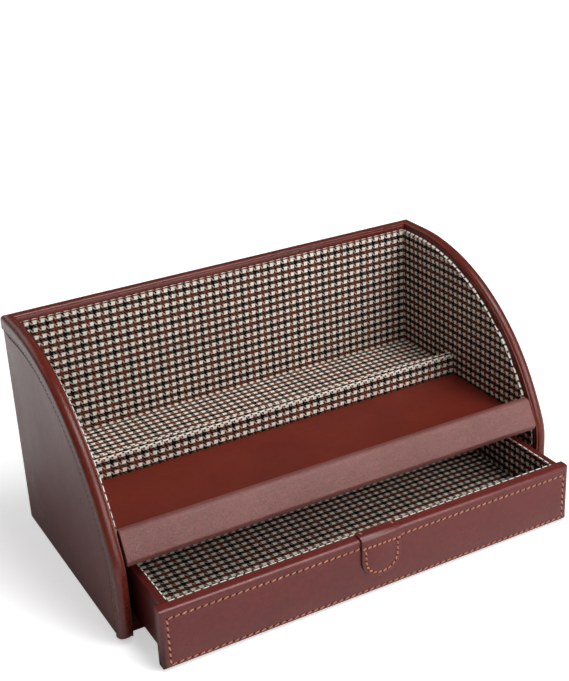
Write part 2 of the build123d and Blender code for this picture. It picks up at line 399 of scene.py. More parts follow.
def check_cloth(name, cream, black, rust):
    """Woven check cloth, laid by the piece's own cloth map."""
    material, tree, shader, place = new_material(name)
    woven = place_group(
        tree, WEAVE, Cloth=uv_place(tree), Cream=tinted(cream), Black=tinted(black), Rust=tinted(rust)
    )
    soil = ramp(tree, clouds(tree, place, 45.0, 3.0), 0.3, 0.7, 0.92, 1.05)
    color = shaded(tree, woven["Color"], soil)
    rough = ramp(tree, woven["Height"], 0.0, 1.0, 0.92, 0.78)
    surface(tree, shader, color, rough, woven["Height"], 0.09 * MM, gloss=0.08)
    return material


def cut_edge(name, cream, dark):
    """Raw edge of the cloth: pale thread ends, broken where a dark stripe meets the edge."""
    material, tree, shader, place = new_material(name)
    edge_place = split(tree, uv_place(tree))
    ragged = clouds(tree, place, 1500.0, 3.0, 0.7)
    width = ramp(tree, clouds(tree, place, 90.0, 2.0), 0.35, 0.65, 0.35 * MM, 0.95 * MM)
    along = calc(tree, "MULTIPLY_ADD", edge_place["X"], 1 / CHECK_PERIOD, times(tree, ragged, 0.22))
    stripe = calc(tree, "FRACT", along)
    dash = times(tree, ramp(tree, stripe, 0.0, 0.08), ramp(tree, stripe, 0.7, 0.82, 1.0, 0.0))
    across = calc(tree, "SUBTRACT", edge_place["Y"], 0.15 * MM)
    frayed = calc(tree, "MULTIPLY_ADD", ragged, 0.3 * MM, across)
    dash = times(tree, dash, calc(tree, "LESS_THAN", frayed, width))
    fibre = ramp(tree, clouds(tree, place, 5200.0, 2.0, 0.7), 0.3, 0.7, 0.88, 1.1)
    color = shaded(tree, mix(tree, dash, tinted(dark), tinted(cream)), fibre)
    rough = ramp(tree, fibre, 0.7, 1.1, 0.95, 0.85)
    surface(tree, shader, color, rough, fibre, 0.08 * MM, gloss=0.2)
    return material


def waxed_thread(name, deep, light):
    """Twisted sewing thread, its twist read from the stitch's own map, with painted highlight on each ply's
    crest and painted shade between the plies.
    """
    material, tree, shader, place = new_material(name)
    stitch_place = split(tree, uv_place(tree))
    turn = calc(tree, "MULTIPLY_ADD", stitch_place["Y"], 5.0, times(tree, stitch_place["X"], 2.0))
    ply = calc(tree, "ABSOLUTE", calc(tree, "SINE", times(tree, turn, pi)))
    each = ramp(tree, clouds(tree, place, 160.0, 2.0), 0.35, 0.65, 0.8, 1.12)
    # painted highlight and shade: the light tone on the crest of each ply, the deep tone between them
    color = shaded(tree, mix(tree, ply, tinted(deep), tinted(light)), each)
    surface(tree, shader, color, ramp(tree, ply, 0.0, 1.0, 0.7, 0.5), ply, 0.1 * MM)
    return material


def fibreboard(name):
    """Bare pressed board that the leather is glued to."""
    material, tree, shader, place = new_material(name)
    fibres = clouds(tree, stretched(tree, place, (1.0, 3.0, 2.0)), 900.0, 5.0, 0.7, 1.2)
    patches = clouds(tree, place, 90.0, 3.0)
    color = mix(tree, ramp(tree, fibres, 0.3, 0.7), tinted((112, 82, 54)), tinted((158, 124, 88)))
    color = mix(tree, ramp(tree, patches, 0.3, 0.7, 0.0, 0.4), color, tinted((98, 70, 46)))
    surface(tree, shader, color, ramp(tree, fibres, 0.0, 1.0, 0.8, 0.95), fibres, 0.08 * MM)
    return material


def wool_felt(name):
    """Matt felt under the base."""
    material, tree, shader, place = new_material(name)
    tufts = clouds(tree, place, 1600.0, 5.0, 0.75, 1.5)
    color = mix(tree, ramp(tree, tufts, 0.3, 0.7), tinted((44, 30, 26)), tinted((78, 58, 50)))
    surface(tree, shader, color, ramp(tree, tufts, 0.0, 1.0, 0.9, 1.0), tufts, 0.25 * MM)
    shader.inputs["Sheen Weight"].default_value = 0.3
    return material


CASE_LEATHER = leather("case_leather", (78, 21, 12), (100, 31, 17), roughness=0.25, shine=0.46)
SIDE_LEATHER = leather(
    "side_panel_leather", (94, 30, 26), (106, 38, 32), roughness=0.3, depth=0.02 * MM, shine=0.42
)
SHELF_LEATHER = leather("shelf_leather", (104, 28, 14), (117, 35, 18), roughness=0.5, grain=0.42 * MM)
# painted sheen: the rail's leather is dyed greyer and lighter than the case leather, to show the reflection
# of the lights in front
RAIL_LEATHER_PAINTED_SHEEN = leather(
    "rail_leather_painted_sheen", (106, 52, 46), (122, 66, 60), roughness=0.45, grain=0.6 * MM, depth=0.12 * MM,
    speckle=0.5, shine=0.85,
)
DRAWER_LEATHER = leather(
    "drawer_leather", (84, 21, 19), (97, 28, 24), roughness=0.32, depth=0.025 * MM, shine=0.6
)
# painted shade: near-black leather for the beads that stand for the shade inside the needle holes
NEEDLE_HOLE_SHADE_LEATHER = leather("needle_hole_painted_shade", (46, 14, 9), (56, 18, 12), roughness=0.7, shine=0.15)
LINING_CLOTH = check_cloth("lining_cloth", (248, 238, 224), (14, 10, 9), (112, 46, 28))
RAW_EDGE = cut_edge("lining_raw_edge", (252, 247, 236), (70, 40, 32))
# painted light: a paler copy of the raw edge, for the top of the drawer's right lining, which catches the
# light
RAW_EDGE_PAINTED_LIGHT = cut_edge("raw_edge_painted_light", (252, 249, 242), (150, 118, 104))
# the lighter colour of each thread is its painted highlight
THREAD = waxed_thread("saddle_thread", (140, 66, 44), (222, 152, 118))
BAND_THREAD = waxed_thread("band_thread", (86, 40, 30), (132, 76, 56))
BOARD = fibreboard("fibreboard")
FELT = wool_felt("base_felt")


# ---- Mesh helpers ----

CREASE_ANGLE = radians(32)     # edges that bend more are shaded as edges
FULL_WEAR_ANGLE = radians(26)
ABOUT_ACROSS = (-1, 0, 0)      # axis that turns the front of the box up and over
ABOUT_FORWARD = (0, -1, 0)     # axis that points out of the front


def mark_wear(shape):
    """Keep on each point how sharply the surface bends there, for the rubbed edges."""
    layer = shape.verts.layers.float.new("wear")
    for point in shape.verts:
        bends = [e.calc_face_angle_signed(0.0) for e in point.link_edges if len(e.link_faces) == 2]
        point[layer] = min(1.0, max(0.0, max(bends, default=0.0)) / FULL_WEAR_ANGLE)


def lay_cloth(shape, raw_faces=(), run=None):
    """Map the cloth flat onto each face, so that the check runs square to the box. Run tells how far
    along the raw edge and how far across it a point lies."""
    layer = shape.loops.layers.uv.new("cloth")
    raw = set(raw_faces)
    for face in shape.faces:
        face.material_index = 1 if face in raw else 0
        size = [abs(amount) for amount in face.normal]
        facing = size.index(max(size))
        for corner in face.loops:
            p = corner.vert.co
            flat = ((p.y, p.z), (p.x, p.z), (p.x, p.y))[facing]
            corner[layer].uv = run(p) if face in raw else flat


def put_in_scene(name, data):
    """Object for a mesh, a lamp or a camera."""
    holder = bpy.data.objects.new(name, data)
    bpy.context.scene.collection.objects.link(holder)
    return holder


def make_object(shape, name, materials):
    """Object of a finished bmesh, at the origin."""
    mesh = bpy.data.meshes.new(name)
    shape.to_mesh(mesh)
    shape.free()
    for material in materials:
        mesh.materials.append(material)
    return put_in_scene(name, mesh)


def add_piece(shape, name, body, materials, stands_for=()):
    """Make a visible piece of a finished bmesh, on its body."""
    for face in shape.faces:
        face.smooth = face.material_index == 0
    for edge in shape.edges:
        edge.smooth = len(edge.link_faces) != 2 or edge.calc_face_angle(0.0) < CREASE_ANGLE
    mark_wear(shape)
    piece = make_object(shape, name, materials)
    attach(piece, body)
    if stands_for:
        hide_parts(*stands_for)
    return piece


def everything(shape):
    """All the points, edges and faces of a shape."""
    return shape.verts[:] + shape.edges[:] + shape.faces[:]


def with_borders(faces):
    """Faces with their edges and points."""
    return faces + list({e for f in faces for e in f.edges}) + list({v for f in faces for v in f.verts})


def box_shape(low, high):
    """Cube between two corners."""
    shape = bmesh.new()
    centre, size = (low + high) / 2, high - low
    bmesh.ops.create_cube(shape, size=1.0, matrix=Matrix.Translation(centre) @ Matrix.Diagonal((*size, 1.0)))
    return shape


def round_edges(shape, edges, radius, segments):
    """Round edges over with a bevel."""
    bmesh.ops.bevel(
        shape, geom=edges, offset=radius, offset_type="OFFSET", segments=segments,
        profile=0.5, affect="EDGES", material=-1, clamp_overlap=True,
    )


def sharp_edges(shape, angle):
    """Edges that bend more than an angle."""
    return [e for e in shape.edges if e.calc_face_angle(0.0) > angle]


def tidy_shell(shape):
    """Merge doubles, close open ends and turn the faces outward."""
    bmesh.ops.remove_doubles(shape, verts=shape.verts, dist=MERGE_REACH)
    open_edges = [e for e in shape.edges if e.is_boundary]
    if open_edges:
        bmesh.ops.holes_fill(shape, edges=open_edges, sides=0)
    bmesh.ops.recalc_face_normals(shape, faces=shape.faces)


def mirrored(shape):
    """The left-hand copy of a right-hand piece."""
    copy = shape.copy()
    bmesh.ops.scale(copy, vec=(-1, 1, 1), verts=copy.verts)
    bmesh.ops.recalc_face_normals(copy, faces=copy.faces)
    return copy


def slide_along(shape, parts, offset, steps):
    """Extrude a section in a straight line."""
    return bmesh.ops.spin(
        shape, geom=parts, cent=(0, 0, 0), axis=(1, 0, 0), dvec=Vector(offset) / steps,
        angle=0.0, steps=steps, use_duplicate=False,
    )["geom_last"]


def swing(shape, parts, centre, axis, turn, steps):
    """Carry a section round a bend."""
    return bmesh.ops.spin(
        shape, geom=parts, cent=centre, axis=axis, dvec=(0, 0, 0), angle=turn, steps=steps,
        use_duplicate=False,
    )["geom_last"]


def close_outline(shape, parts, *corners):
    """Close an open outline by way of corners, the last of them its first point, and fill it."""
    last = next(p for p in parts if isinstance(p, bmesh.types.BMVert))
    for corner in corners:
        shape.edges.new((last, corner))
        last = corner
    bmesh.ops.contextual_create(shape, geom=shape.edges[:])


def rounded_section(corners, place, segments):
    """Flat face with rounded corners. A corner is two measures and its rounding, and place makes a
    point of the two measures."""
    shape = bmesh.new()
    points = [shape.verts.new(place(first, second)) for first, second, _ in corners]
    shape.faces.new(points)
    for point, (_, _, rounding) in zip(points, corners):
        if rounding:
            bmesh.ops.bevel(
                shape, geom=[point], offset=rounding, segments=segments, profile=0.5,
                affect="VERTICES", material=-1,
            )
    return shape


def crosswise_bar(corners, half, steps=24):
    """Bar across the box with a rounded section. A corner is its y, its z and its rounding."""
    shape = rounded_section(corners, lambda y, z: (-half, y, z), 6)
    slide_along(shape, everything(shape), (2 * half, 0, 0), steps)
    tidy_shell(shape)
    return shape


def cut_level(shape, height):
    """Cut a piece's faces all round along a level line."""
    bmesh.ops.bisect_plane(
        shape, geom=everything(shape), plane_co=(0, 0, height), plane_no=(0, 0, 1), dist=CUT_SLACK
    )


# ---- The curved edge of a side ----

def rim_bends():
    """Height at which the bends of a side's front and top edge start, and the centre, start angle,
    turn and radius of each."""
    arcs = [(BROW_RADIUS, BROW_TURN), (SLOPE_RADIUS, SLOPE_TURN), (CROWN_RADIUS, CROWN_TURN)]
    start, angle = TOP, 0.0
    for radius, turn in arcs:
        start -= radius * (sin(angle + turn) - sin(angle))
        angle += turn
    bends, angle, last_radius = [], 0.0, BROW_RADIUS
    centre = Vector((0, FRONT + BROW_RADIUS, start))
    for radius, turn in arcs:
        centre = centre + (radius - last_radius) * Vector((0, cos(angle), -sin(angle)))
        bends.append((centre, angle, turn, radius))
        angle, last_radius = angle + turn, radius
    return start, bends


RIM_START, RIM_BENDS = rim_bends()
RIM_END = RIM_BENDS[-1][0].y   # from here the top edge runs level to the rear
RIM_STEP = 2.2 * MM            # length of a facet on the bends
SEAM_STEP = 1 * MM             # and of a step of the sewing line


def follow_rim(shape, parts, low, past, front_steps, top_steps):
    """Carry a section from low up the front edge of a side, over the bends and past the rear."""
    parts = slide_along(shape, parts, (0, 0, RIM_START - low), front_steps)
    for centre, _, turn, radius in RIM_BENDS:
        parts = swing(shape, parts, centre, ABOUT_ACROSS, turn, max(4, round(radius * turn / RIM_STEP)))
    return slide_along(shape, parts, (0, REAR + past - RIM_END, 0), top_steps)


def rim_line(x, inset, low):
    """Points along a line on a side that runs inset from its edge, from low to the rear."""
    line = [Vector((x, FRONT + inset, low))]
    for centre, angle, turn, radius in RIM_BENDS:
        count = round(radius * turn / SEAM_STEP)
        for k in range(count):
            a = angle + turn * k / count
            line.append(centre + Vector((x, -cos(a) * (radius - inset), sin(a) * (radius - inset))))
    return line + [Vector((x, y, TOP - inset)) for y in (RIM_END, REAR)]


def rim_run(p):
    """How far along a side's edge a point lies, from the foot."""
    if p.z < RIM_START:
        return p.z
    run = RIM_START
    for centre, angle, turn, radius in RIM_BENDS:
        swung = atan2(p.z - centre.z, centre.y - p.y) - angle
        if swung < turn:
            return run + radius * max(0.0, swung)
        run += radius * turn
    return run + p.y - RIM_END


def off_ends(place):
    """Whether a place on a side lies clear of its foot and of its rear."""
    return place.z > FOOT + 1 * MM and place.y < REAR - 1 * MM


def squeeze_toe(shape):
    """Round the lower front corner of a piece whose front edge starts as a straight upright."""
    seam = FRONT + BAND_OUTSIDE
    for point in shape.verts:
        below = FOOT + TOE_RADIUS - point.co.z
        if below > 0 and point.co.y < seam:
            back = TOE_RADIUS - max(0.0, TOE_RADIUS ** 2 - below ** 2) ** 0.5
            share = (seam - point.co.y) / BAND_OUTSIDE
            point.co.y = seam - share * (BAND_OUTSIDE - back)


def mitre(shape, side, keep_front):
    """Cut a band off slantwise at a back corner. Side is 1 on the right and -1 on the left."""
    across, back = CASE_HALF - INSIDE, REAR - TRAY_REAR
    normal = Vector((-side * back, across, 0)).normalized()
    bmesh.ops.bisect_plane(
        shape, geom=everything(shape), plane_co=(side * INSIDE, TRAY_REAR, 0), plane_no=normal,
        dist=CUT_SLACK, clear_outer=keep_front, clear_inner=not keep_front,
    )
    tidy_shell(shape)


def band_corners(inner, outer, inner_round, outer_round, foot_bulge, foot_round):
    """Section of a band folded over an edge. A corner is its place through the wall, its inset from
    the edge and its rounding."""
    return [
        (inner + BAND_DEPTH, BAND_INSIDE + 0.1 * MM, 0),
        (inner + BAND_DEPTH - 0.15 * MM, BAND_INSIDE, 0.1 * MM),
        (inner + PADDING, 0, inner_round),
        (outer + PADDING - 0.15 * MM, 0, outer_round),
        (outer + PADDING, SHOULDER, 2.0 * MM),
        (outer + foot_bulge, BAND_OUTSIDE - 0.05 * MM, foot_round),
        (outer - BAND_DEPTH, BAND_OUTSIDE, 0),
        (outer - BAND_DEPTH, BAND_DEPTH, 0),
        (inner + BAND_DEPTH, BAND_DEPTH, 0),
    ]


def side_sheet(inset, hidden_x, shown_x, rounding):
    """Flat sheet with the outline of a side, its edge drawn in by inset and rounded on its shown face."""
    shape = bmesh.new()
    start = shape.verts.new((hidden_x, FRONT + inset, FOOT))
    parts = follow_rim(shape, [start], FOOT, past=0, front_steps=16, top_steps=2)
    close_outline(shape, parts, shape.verts.new((hidden_x, REAR, FOOT)), start)
    slide_along(shape, everything(shape), (shown_x - hidden_x, 0, 0), 1)
    tidy_shell(shape)
    rim = [e for e in shape.edges if all(abs(p.co.x - shown_x) < NEAR for p in e.verts)]
    round_edges(shape, rim, rounding, 3)
    return shape


# ---- Case pieces ----

def both_hands(make, name, materials, stands_for, raw=None):
    """Make a piece of the case on the right and its mirror image on the left."""
    right = make()
    for side, shape in (("left", mirrored(right)), ("right", right)):
        if raw is not None:
            lay_cloth(shape, raw(shape), lambda p: (rim_run(p), abs(p.x) - INSIDE + RAW_LIP))
        add_piece(shape, f"{name}_{side}", "case", materials, [f"{stands_for}_{side}"])


def make_side_band():
    """Right-hand padded leather band, folded over the curved edge, with painted shade along its seam."""
    corners = band_corners(INSIDE, CASE_HALF, 2.8 * MM, 2.5 * MM, 0.5 * MM, 0.9 * MM)
    shape = rounded_section(corners, lambda x, inset: (x, FRONT + inset, FOOT), 5)
    # painted shade in the groove along the band's outer seam
    layer = shape.verts.layers.float.new("painted_shade")
    for point in shape.verts:
        if point.co.y > FRONT + BAND_OUTSIDE - 0.6 * MM:
            point[layer] = 1.0
    parts = slide_along(shape, everything(shape), (0, 0, TOE_RADIUS), 8)
    follow_rim(shape, parts, FOOT + TOE_RADIUS, past=1 * MM, front_steps=4, top_steps=3)
    tidy_shell(shape)
    squeeze_toe(shape)
    mitre(shape, 1, True)
    return shape


def make_side_core():
    """Board of a side, its inner edge eased under the band."""
    shape = side_sheet(CASE_HALF - BOARD_OUTER + BAND_GAP, BOARD_OUTER, BOARD_INNER, 2.0 * MM)
    squeeze_toe(shape)
    return shape


def make_side_panel():
    """Flat leather panel on the outer face of a side, its edge turned in at the band's seam, with painted
    shade there.
    """
    shape = side_sheet(BAND_OUTSIDE + BAND_GAP, BOARD_OUTER, CASE_HALF, 0.55 * MM)
    flat = max(shape.faces, key=lambda f: f.calc_area() * (f.normal.x > 0.9))
    bmesh.ops.inset_region(shape, faces=[flat], thickness=0.8 * MM, use_even_offset=True)
    # painted shade on the turned-in edge, in the groove at the band's seam
    layer = shape.verts.layers.float.new("painted_shade")
    face_points = set(flat.verts)
    for point in shape.verts:
        if off_ends(point.co) and point not in face_points:
            point[layer] = 1.0
    return shape


def make_side_lining():
    """Check lining of a side, on card, with its raw edge showing at the front and top."""
    shape = side_sheet(BAND_INSIDE, BOARD_INNER, INSIDE, 0.12 * MM)
    shown = [f for f in shape.faces if f.normal.x < -0.99]
    rim = [p for f in shown for p in f.verts if off_ends(p.co)]
    bmesh.ops.inset_region(shape, faces=shown, thickness=RAW_STRIP, use_even_offset=True)
    for point in set(rim):
        point.co.x -= RAW_LIP * min(1.0, max(0.0, (point.co.z - RAIL_LOW.z) / (4 * MM)))
    return shape


def side_raw_faces(shape):
    """Faces of a side lining that lie along its cut front and top edge."""
    middles = {f: f.calc_center_median() for f in shape.faces}
    broad = [f for f in shape.faces if abs(middles[f].x) < BOARD_INNER - 0.2 * MM]
    widest = max(broad, key=lambda f: f.calc_area())
    return [
        f for f in shape.faces
        if f is not widest and abs(middles[f].x) < BOARD_INNER - NEAR and off_ends(middles[f])
    ]


def make_back_band():
    """Padded leather band folded over the top of the back, between the side bands."""
    corners = band_corners(TRAY_REAR, REAR, 2.4 * MM, 2.4 * MM, 0.4 * MM, 0.8 * MM)
    shape = crosswise_bar([(y, TOP - inset, rounding) for y, inset, rounding in corners], CASE_HALF + 1 * MM)
    mitre(shape, 1, False)
    mitre(shape, -1, False)
    add_piece(shape, "back_band", "case", [CASE_LEATHER], ["back_edge_band"])


def make_front_rail():
    """Slanted front rail in leather, with softly rounded edges and ends."""
    (front, foot), (rear, crest) = RAIL_LOW.yz, RAIL_HIGH.yz
    corners = [
        (rear, foot, 0.4 * MM), (front + 1.3 * MM, foot, 0.9 * MM), (front, foot + 3 * MM, 0.7 * MM),
        (front + 6.1 * MM, crest, 1.6 * MM), (rear, crest, 0.9 * MM),
    ]
    shape = crosswise_bar(corners, INSIDE - 0.1 * MM, 40)
    ends = [e for e in sharp_edges(shape, radians(60)) if abs(e.verts[0].co.x - e.verts[1].co.x) < NEAR]
    round_edges(shape, ends, 0.45 * MM, 3)
    stands_for = ["front_rail_cover", "front_rail_board"]
    add_piece(shape, "front_rail", "case", [RAIL_LEATHER_PAINTED_SHEEN], stands_for)


def cloth_board(node, body, edge=None, lift=0.0):
    """Card covered in check cloth, with a raw edge along its top where it is given one. Lift raises
    the top."""
    name = node.replace("lining", "cloth")
    low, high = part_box(node)
    high = high + Vector((0, 0, lift))
    shape = box_shape(low, high)
    round_edges(shape, shape.edges[:], CARD_ROUND, 2)
    cut_level(shape, high.z - RAW_STRIP)
    raw_faces = [f for f in shape.faces if edge and f.calc_center_median().z > high.z - RAW_STRIP]
    across = high.x - low.x > high.y - low.y
    lay_cloth(shape, raw_faces, lambda p: (p.x if across else p.y, 0.0))
    add_piece(shape, name, body, [LINING_CLOTH, edge or LINING_CLOTH], [node])


def make_divider():
    """Divider between shelf and tray: cloth folded over a card."""
    low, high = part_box("divider_cover")
    shape = box_shape(low, high)
    round_edges(shape, [e for e in shape.edges if all(p.co.z > high.z - NEAR for p in e.verts)], 0.9 * MM, 4)
    lay_cloth(shape)
    add_piece(shape, "divider_fold", "case", [LINING_CLOTH], ["divider_cover"])


def make_divider_front():
    """Second piece of cloth on the divider's front, raw at its top and foot, just under the fold."""
    low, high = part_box("divider_front_lining")
    high = high - Vector((0, 0, 0.5 * MM))
    shape = box_shape(low, high)
    round_edges(shape, shape.edges[:], 0.2 * MM, 2)
    top, foot = high.z - RAW_STRIP, low.z + RAW_STRIP
    cut_level(shape, top)
    cut_level(shape, foot)
    raw = [f for f in shape.faces if not foot < f.calc_center_median().z < top]
    lay_cloth(shape, raw, lambda p: (p.x, 0.0))
    stands_for = ["divider_front_lining"]
    add_piece(shape, "divider_front", "case", [LINING_CLOTH, RAW_EDGE], stands_for)


def cushioned_floor(node, body, crown):
    """Thin padded floor under check cloth: crowned, with its edges drawn down and small dents."""
    low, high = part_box(node)
    shape = box_shape(low, high)
    for axis, cuts in enumerate(PAD_CUTS):
        lines = [e for e in shape.edges if abs(e.verts[0].co[axis] - e.verts[1].co[axis]) > 1 * MM]
        bmesh.ops.subdivide_edges(shape, edges=lines, cuts=cuts, use_grid_fill=True)
    middle, half = (low + high) / 2, (high - low) / 2
    for point in shape.verts:
        if point.co.z > high.z - NEAR:
            x, y = (point.co.x - middle.x) / half.x, (point.co.y - middle.y) / half.y
            swell = (1 - abs(x) ** 14) * (1 - abs(y) ** 6)
            spot = Vector((point.co.x * DENTS_PER_METRE, point.co.y * DENTS_PER_METRE, 3.7))
            point.co.z += crown * (swell - 1) + PAD_DENT * noise.noise(spot) * swell
    rim = [e for e in sharp_edges(shape, radians(50)) if all(p.co.z > middle.z for p in e.verts)]
    round_edges(shape, rim, 0.5 * MM, 3)
    lay_cloth(shape)
    name = node.replace("floor_pad", "cushion")
    pad = add_piece(shape, name, body, [LINING_CLOTH], [node])


# ---- Drawer pieces ----

PANEL_STEPS = 30               # lengths that the panel's face is cut into


def cut_across(shape, axis, place):
    """Cut the front face of the panel along a line."""
    along = (1, 0, 0) if axis == "x" else (0, 0, 1)
    parts = with_borders([f for f in shape.faces if f.normal.y < -0.99])
    bmesh.ops.bisect_plane(shape, geom=parts, plane_co=Vector(along) * place, plane_no=along, dist=CUT_SLACK)


def press_seam(shape):
    """Press the leather in under the rows of stitches, and mark painted shade in that groove and along the
    lower edge.
    """
    layer = shape.verts.layers.float.new("painted_shade")
    for point in shape.verts:
        x, z = point.co.x, point.co.z
        within = SEAM_LEFT - NEAR < x < SEAM_RIGHT + NEAR and SEAM_FOOT - NEAR < z < SEAM_HEAD + NEAR
        on_end = min(abs(x - SEAM_LEFT), abs(x - SEAM_RIGHT)) < NEAR
        on_row = min(abs(z - SEAM_FOOT), abs(z - SEAM_HEAD)) < NEAR
        # painted shade in the pressed groove under the stitches
        if point.co.y < DRAWER_LOW.y + NEAR and within and (on_end or on_row):
            point.co.y += SEAM_DEPTH
            point[layer] = 0.6
        # painted shade along the rounded lower edge
        elif z < DRAWER_LOW.z + 1 * MM:
            point[layer] = 0.8


def make_drawer_front():
    """Drawer front wrapped in leather: rounded edges, and a row pressed in along the stitches."""
    low, high = DRAWER_LOW, DRAWER_HIGH
    shape = box_shape(low, high)
    round_edges(shape, [e for e in shape.edges if all(p.co.y < low.y + NEAR for p in e.verts)], 2.0 * MM, 6)
    round_edges(shape, [e for e in shape.edges if all(p.co.y > high.y - NEAR for p in e.verts)], 0.5 * MM, 2)
    for axis, place in (("x", SEAM_LEFT), ("x", SEAM_RIGHT), ("z", SEAM_FOOT), ("z", SEAM_HEAD)):
        for offset in (-SEAM_HALF_WIDTH, 0, SEAM_HALF_WIDTH):
            cut_across(shape, axis, place + offset)
    press_seam(shape)
    for step in range(1, PANEL_STEPS):
        cut_across(shape, "x", low.x + (high.x - low.x) * step / PANEL_STEPS)
    add_piece(shape, "drawer_front", "drawer", [DRAWER_LEATHER], ["drawer_front_cover"])


def tab_outline(shape, high_z):
    """Round-ended outline of the pull tab on the panel, up to a height, as a face."""
    half, y, low_z = TAB_HIGH.x, DRAWER_LOW.y, TAB_LOW.z + TAB_RADIUS
    corner = shape.verts.new((-half, y, high_z))
    parts = slide_along(shape, [corner], (0, 0, low_z - high_z), 1)
    parts = swing(shape, parts, (TAB_RADIUS - half, y, low_z), ABOUT_FORWARD, pi / 2, 10)
    parts = slide_along(shape, parts, (2 * (half - TAB_RADIUS), 0, 0), 1)
    parts = swing(shape, parts, (half - TAB_RADIUS, y, low_z), ABOUT_FORWARD, pi / 2, 10)
    close_outline(shape, parts, shape.verts.new((half, y, high_z)), corner)


def make_pull_tab():
    """Leather tab folded over the top of the drawer front, with a round end."""
    shape = bmesh.new()
    front, top_z = DRAWER_LOW.y, DRAWER_HIGH.z
    tab_outline(shape, top_z - TAB_BEND)
    slide_along(shape, everything(shape), (0, TAB_LOW.y - front, 0), 1)
    tidy_shell(shape)
    top = [f for f in shape.faces if f.normal.z > 0.99]
    centre = (0, front + TAB_BEND, top_z - TAB_BEND)
    parts = swing(shape, with_borders(top), centre, ABOUT_ACROSS, pi / 2, 8)
    slide_along(shape, parts, (0, TAB_HIGH.y - front - TAB_BEND - 0.2 * MM, 0), 3)
    bmesh.ops.delete(shape, geom=[f for f in top if f.is_valid], context="FACES_ONLY")
    tidy_shell(shape)
    round_edges(shape, sharp_edges(shape, radians(50)), 0.32 * MM, 3)
    add_piece(shape, "leather_pull_tab", "drawer", [DRAWER_LEATHER], ["pull_tab"])


# ---- Stitching ----

def spaced(line, pitch):
    """Evenly spaced places along a line of points, with the direction of the line at each."""
    lengths = [(b - a).length for a, b in zip(line, line[1:])]
    total = sum(lengths)
    count = max(1, round(total / pitch))
    places, k, gone = [], 0, 0.0
    for i in range(count):
        target = (i + 0.5) * total / count
        while k < len(lengths) - 1 and gone + lengths[k] < target:
            gone += lengths[k]
            k += 1
        a, b = line[k], line[k + 1]
        places.append((a + (b - a) * ((target - gone) / lengths[k]), (b - a).normalized()))
    return places


def new_work():
    """Empty meshes for a row's threads, with their own map for the twist, and for the painted shade in its
    needle holes.
    """
    threads, hole_shades = bmesh.new(), bmesh.new()
    threads.loops.layers.uv.new("cloth")
    return threads, hole_shades


def add_bead(shape, place, turn, size, rings):
    """Long bead with half sizes along the three directions of a turn."""
    matrix = Matrix.Translation(place) @ turn.to_4x4() @ Matrix.Diagonal((*size, 1.0))
    bmesh.ops.create_uvsphere(
        shape, u_segments=8, v_segments=rings, radius=1.0, matrix=matrix, calc_uvs=True
    )


def sew(line, out, work, pitch, width=THREAD_WIDTH):
    """Row of slanted stitches along a line on a surface, with a dark bead of painted shade for the needle
    hole at the end of each.
    """
    threads, hole_shades = work
    for place, along in spaced(line, pitch):
        slanted = Matrix.Rotation(STITCH_SLANT, 3, out) @ along
        turn = Matrix((out.cross(slanted).normalized(), out, slanted)).transposed()
        add_bead(threads, place, turn, (width / 2, THREAD_RISE / 2, STITCH_SHARE * pitch / 2), 6)
        # bead of painted shade for the needle hole
        add_bead(hole_shades, place + along * (pitch / 2) - out * HOLE_SINK, turn, HOLE_SIZE, 4)


def keep_work(work, name, hand, body, thread):
    """Make pieces of the threads and of the painted needle-hole shade of a row."""
    threads, hole_shades = work
    add_piece(threads, f"{name}_stitches{hand}", body, [thread])
    add_piece(hole_shades, f"{name}_needle_holes{hand}", body, [NEEDLE_HOLE_SHADE_LEATHER])


def sew_panel(work, out):
    """Rows round the drawer front, with a gap where the tab crosses the upper one."""
    y, half = DRAWER_LOW.y + SEAM_DEPTH - THREAD_RISE * 0.2, TAB_HIGH.x
    foot_row = [Vector((SEAM_LEFT, y, SEAM_FOOT)), Vector((SEAM_RIGHT, y, SEAM_FOOT))]
    sew(foot_row, out, work, STITCH_PITCH, 0.7 * THREAD_WIDTH)
    for x1, z1, x2, z2 in (
        (SEAM_LEFT, SEAM_HEAD, -half, SEAM_HEAD), (half, SEAM_HEAD, SEAM_RIGHT, SEAM_HEAD),
        (SEAM_LEFT, SEAM_FOOT, SEAM_LEFT, SEAM_HEAD), (SEAM_RIGHT, SEAM_FOOT, SEAM_RIGHT, SEAM_HEAD),
    ):
        sew([Vector((x1, y, z1)), Vector((x2, y, z2))], out, work, STITCH_PITCH)


def sew_tab(work, out):
    """Rows across the tab, round its end and down its edges on top of the drawer front."""
    y, half, radius = TAB_LOW.y - THREAD_RISE * 0.1, TAB_HIGH.x, TAB_SEAM_RADIUS
    sew([Vector((-half, y, SEAM_HEAD)), Vector((half, y, SEAM_HEAD))], out, work, TAB_PITCH)
    side, upper, centre_z = half - TAB_SEAM, SEAM_HEAD - 1.2 * MM, TAB_LOW.z + TAB_SEAM + radius
    line = [Vector((-side, y, upper))]
    for k in range(13):
        a = pi * k / 12
        centre_x = (side - radius) * (-1 if k < 6 else 1 if k > 6 else 0)
        line.append(Vector((centre_x - radius * cos(a), y, centre_z - radius * sin(a))))
    sew(line + [Vector((side, y, upper))], out, work, TAB_PITCH)
    top = TAB_HIGH.z - THREAD_RISE * 0.1
    for x in (-side, side):
        fold_row = [Vector((x, TAB_LOW.y + 3.0 * MM, top)), Vector((x, TAB_HIGH.y - 0.3 * MM, top))]
        sew(fold_row, Vector((0, 0, 1)), work, TAB_PITCH)


def sew_drawer_front():
    """Stitches round the drawer front and on the pull tab."""
    work, out = new_work(), Vector((0, -1, 0))
    sew_panel(work, out)
    sew_tab(work, out)
    keep_work(work, "drawer_front", "", "drawer", THREAD)


